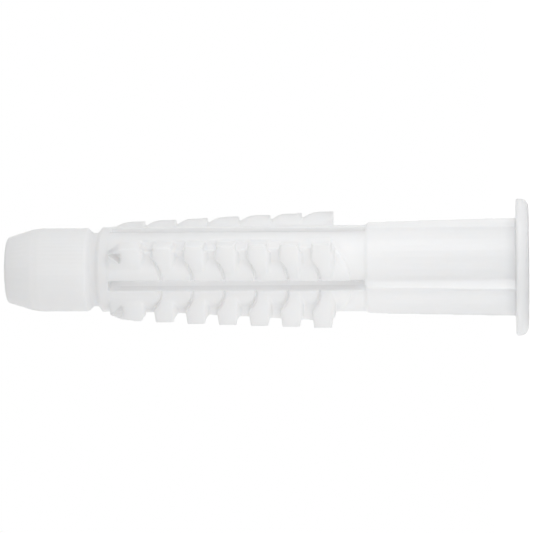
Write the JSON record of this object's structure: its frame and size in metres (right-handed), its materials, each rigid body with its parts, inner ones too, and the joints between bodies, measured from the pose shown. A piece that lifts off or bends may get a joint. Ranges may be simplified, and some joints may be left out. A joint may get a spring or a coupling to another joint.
{
  "type": "universal wall plug",
  "caption": "One-piece plastic wall plug with a collar flange, a ribbed barrel, slotted expansion legs with teeth and a tapered nose.",
  "frame": {"origin": "centre of the flange's outer face, on the axis of the screw hole; the plug stands on this face", "axes": "+Z along the axis towards the nose; the slots lie in the XZ and YZ planes; the front teeth are at -Y"},
  "size_m": [0.0132, 0.013, 0.05],
  "materials": {
    "plastic": "satin, slightly translucent white polyamide"
  },
  "bodies": {
    "root": {"plug": "plastic"}
  },
  "joints": []
}
